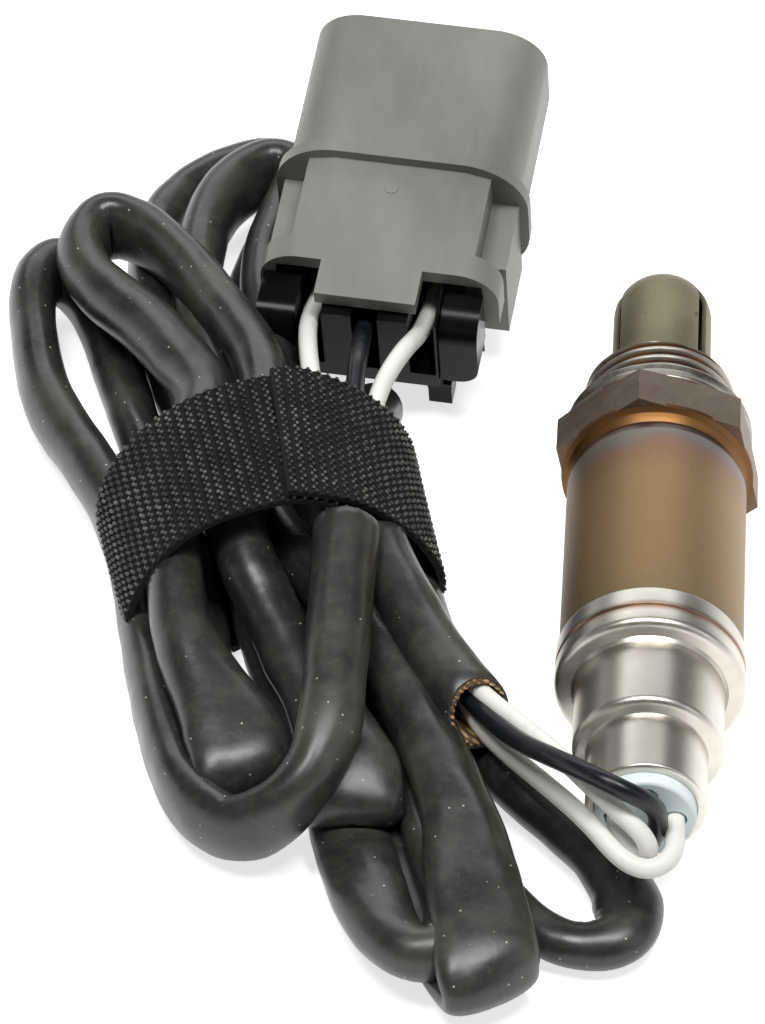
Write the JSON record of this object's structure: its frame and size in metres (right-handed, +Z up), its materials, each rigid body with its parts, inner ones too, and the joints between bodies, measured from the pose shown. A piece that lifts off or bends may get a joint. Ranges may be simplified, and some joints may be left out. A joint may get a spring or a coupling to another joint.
{
  "type": "oxygen sensor",
  "caption": "Heated exhaust oxygen sensor with hex body, slotted tip, three leads, a sleeved cable folded in a strap and a grey plug.",
  "frame": {"origin": "on the floor under the middle of the sensor's length, midway across its body", "axes": "+Y along the sensor towards its slotted tip, +X across it away from the cable hank, +Z up from the floor"},
  "size_m": [0.0941, 0.1504, 0.0317],
  "materials": {
    "housing_steel": "heat-darkened, machined",
    "gasket_steel": "formed, rolled edges",
    "tube_steel": "drawn, straw heat tint",
    "shell_steel": "drawn, satin",
    "tip_steel": "drawn, dull olive grey",
    "inner_steel": "plain",
    "ceramic": "fired, matt",
    "talc": "pressed powder",
    "grommet": "smooth, waxy white",
    "contact": "plated",
    "connector": "moulded grey, fine sheen",
    "seal": "soft",
    "retainer": "moulded black",
    "white_wire": "smooth insulation",
    "black_wire": "smooth insulation",
    "sleeve": "coated sleeve, satin, dusty",
    "strap": "woven, ribbed"
  },
  "bodies": {
    "root": {"threaded_housing": "housing_steel", "gasket_ring": "gasket_steel", "guard_tube": "tube_steel", "rear_shell": "shell_steel", "protection_tube": "tip_steel", "inner_tube": "tip_steel", "sensing_thimble": "ceramic", "thimble_seal_ring": "inner_steel", "seal_packing": "talc", "pressing_bush": "ceramic", "disc_spring": "inner_steel", "heater_rod": "ceramic", "contact_clip": "inner_steel", "rear_insulator": "ceramic", "cable_grommet": "grommet", "lead_ferrule_left": "contact", "lead_ferrule_low": "contact", "lead_ferrule_right": "contact", "connector_housing": "connector", "blade_terminal_1": "contact", "blade_terminal_2": "contact", "blade_terminal_3": "contact", "wire_seal_1": "seal", "wire_seal_2": "seal", "wire_seal_3": "seal", "rear_retainer": "retainer", "sensor_wire_left": "white_wire", "sensor_wire_low": "black_wire", "sensor_wire_right": "white_wire", "plug_wire_left": "white_wire", "plug_wire_middle": "black_wire", "plug_wire_right": "white_wire", "sleeve_hank": "sleeve", "cable_strap": "strap"}
  },
  "joints": []
}
